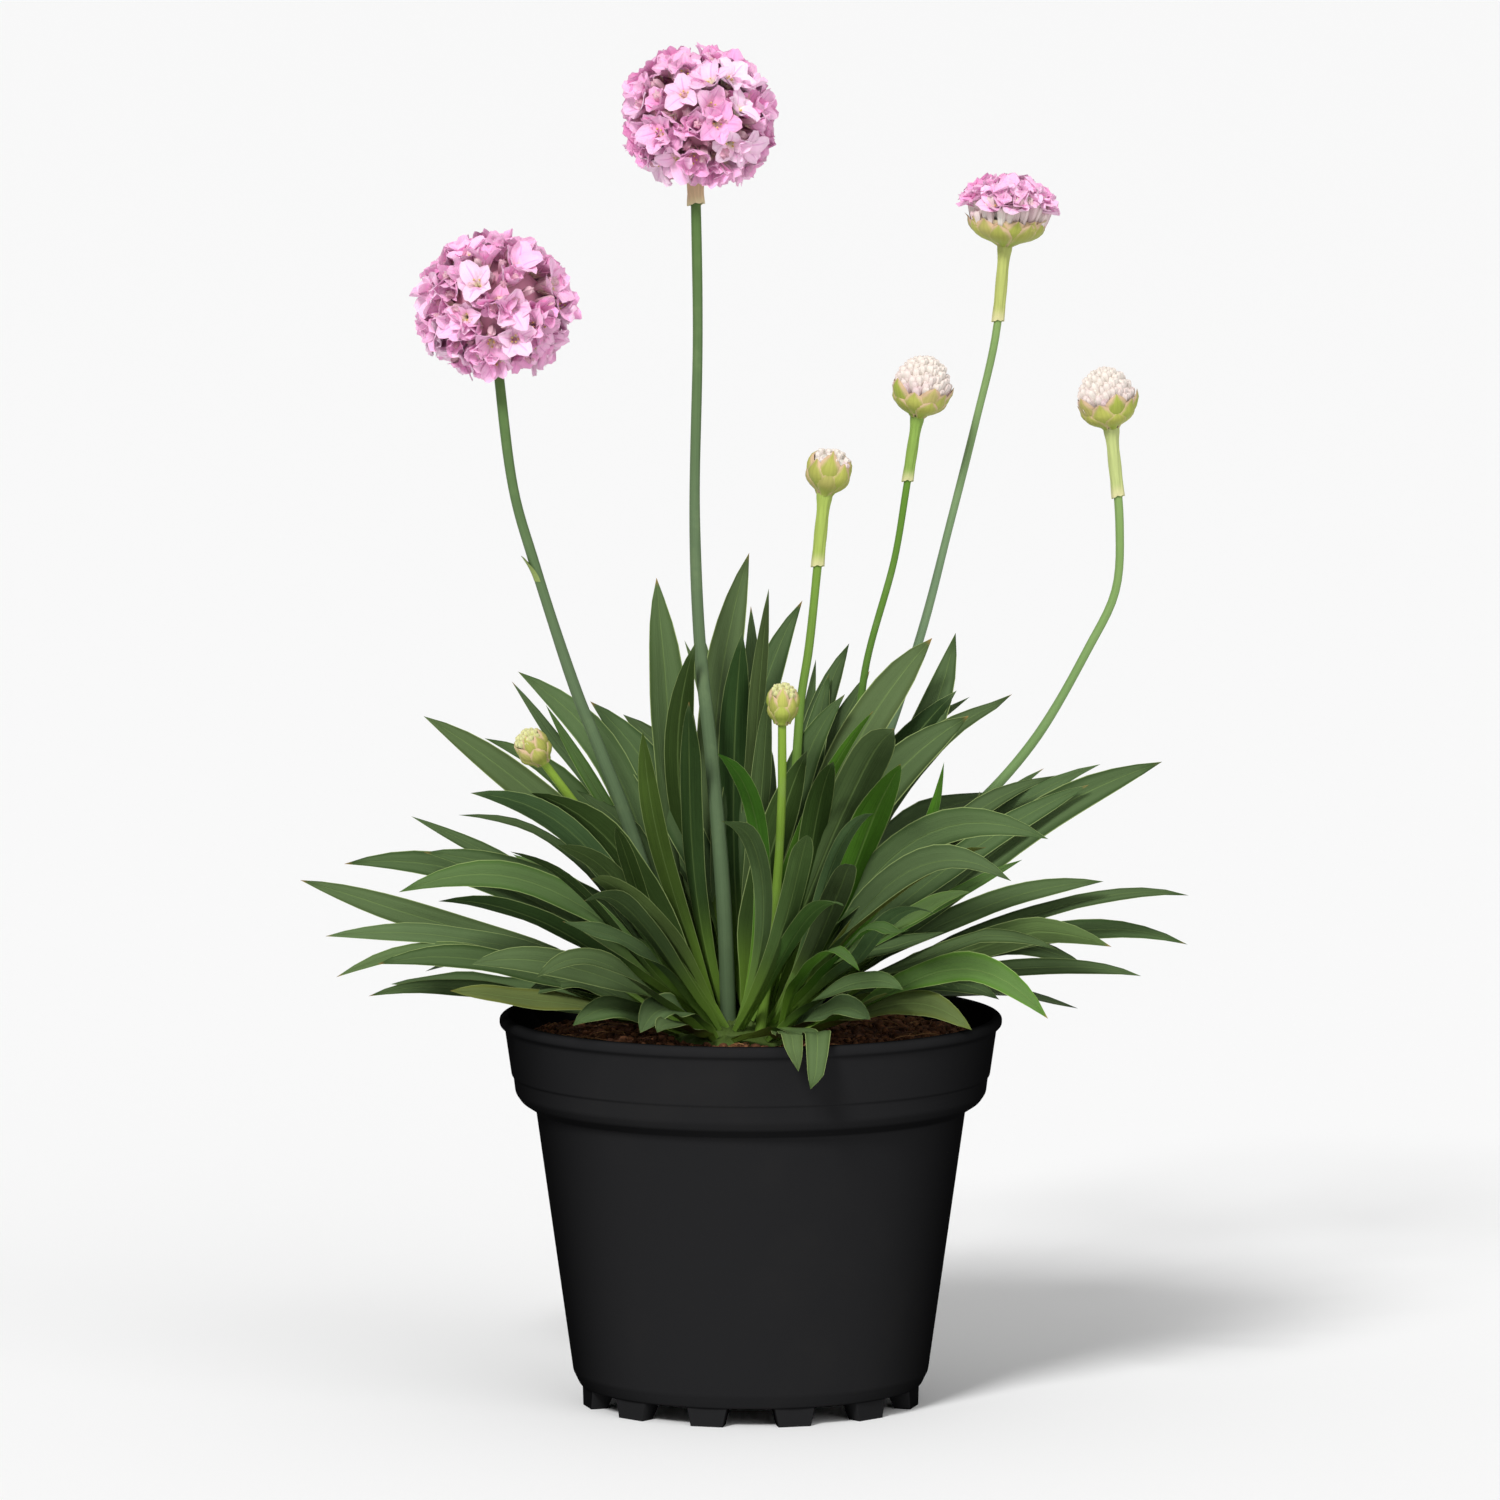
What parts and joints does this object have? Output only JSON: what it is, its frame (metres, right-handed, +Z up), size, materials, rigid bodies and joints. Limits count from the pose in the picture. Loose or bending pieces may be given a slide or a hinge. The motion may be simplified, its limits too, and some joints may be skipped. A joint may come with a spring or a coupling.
{
  "type": "potted false sea thrift",
  "caption": "False sea thrift growing in a plastic nursery pot: a clump of strap leaves with round pink flower heads and green buds on slender upright stems.",
  "frame": {"origin": "on the pot's axis, on the plane of the feet that the pot stands on", "axes": "+Z up along the pot's axis; the side that the picture shows faces -Y, with +X to its right"},
  "size_m": [0.2287, 0.172, 0.3505],
  "materials": {
    "pot_plastic": "black moulded plastic with a soft sheen",
    "soil": "dark reddish-brown peat and coir, matt and crumbly",
    "leaf": "grey-green to deep green living leaf, soft satin",
    "stem": "grey-green living stem, satin",
    "sheath": "pale yellow-green papery sheath, thin and slightly translucent",
    "bract": "yellow-green bracts with tan papery margins",
    "petal": "lilac-pink petals, thin and matt",
    "calyx": "white ribbed papery calyces, faintly mauve"
  },
  "bodies": {
    "root": {"pot": "pot_plastic", "soil": "soil", "lower_leaves": "leaf", "middle_leaves": "leaf", "heart_leaves": "leaf", "first_bloom_stem": "stem", "first_bloom_bracts": "bract", "first_bloom_florets": "petal", "tall_bloom_stem": "stem", "tall_bloom_sheath": "sheath", "tall_bloom_bracts": "bract", "tall_bloom_florets": "petal", "opening_bloom_stem": "stem", "opening_bloom_sheath": "sheath", "opening_bloom_bracts": "bract", "opening_bloom_florets": "petal", "right_bud_stem": "stem", "right_bud_sheath": "sheath", "right_bud_bracts": "bract", "right_bud_florets": "calyx", "far_right_bud_stem": "stem", "far_right_bud_sheath": "sheath", "far_right_bud_bracts": "bract", "far_right_bud_florets": "calyx", "middle_bud_stem": "stem", "middle_bud_sheath": "sheath", "middle_bud_bracts": "bract", "middle_bud_florets": "calyx", "low_bud_stem": "stem", "low_bud_bracts": "bract", "low_bud_florets": "calyx", "left_bud_stem": "stem", "left_bud_bracts": "bract", "left_bud_florets": "calyx"}
  },
  "joints": []
}
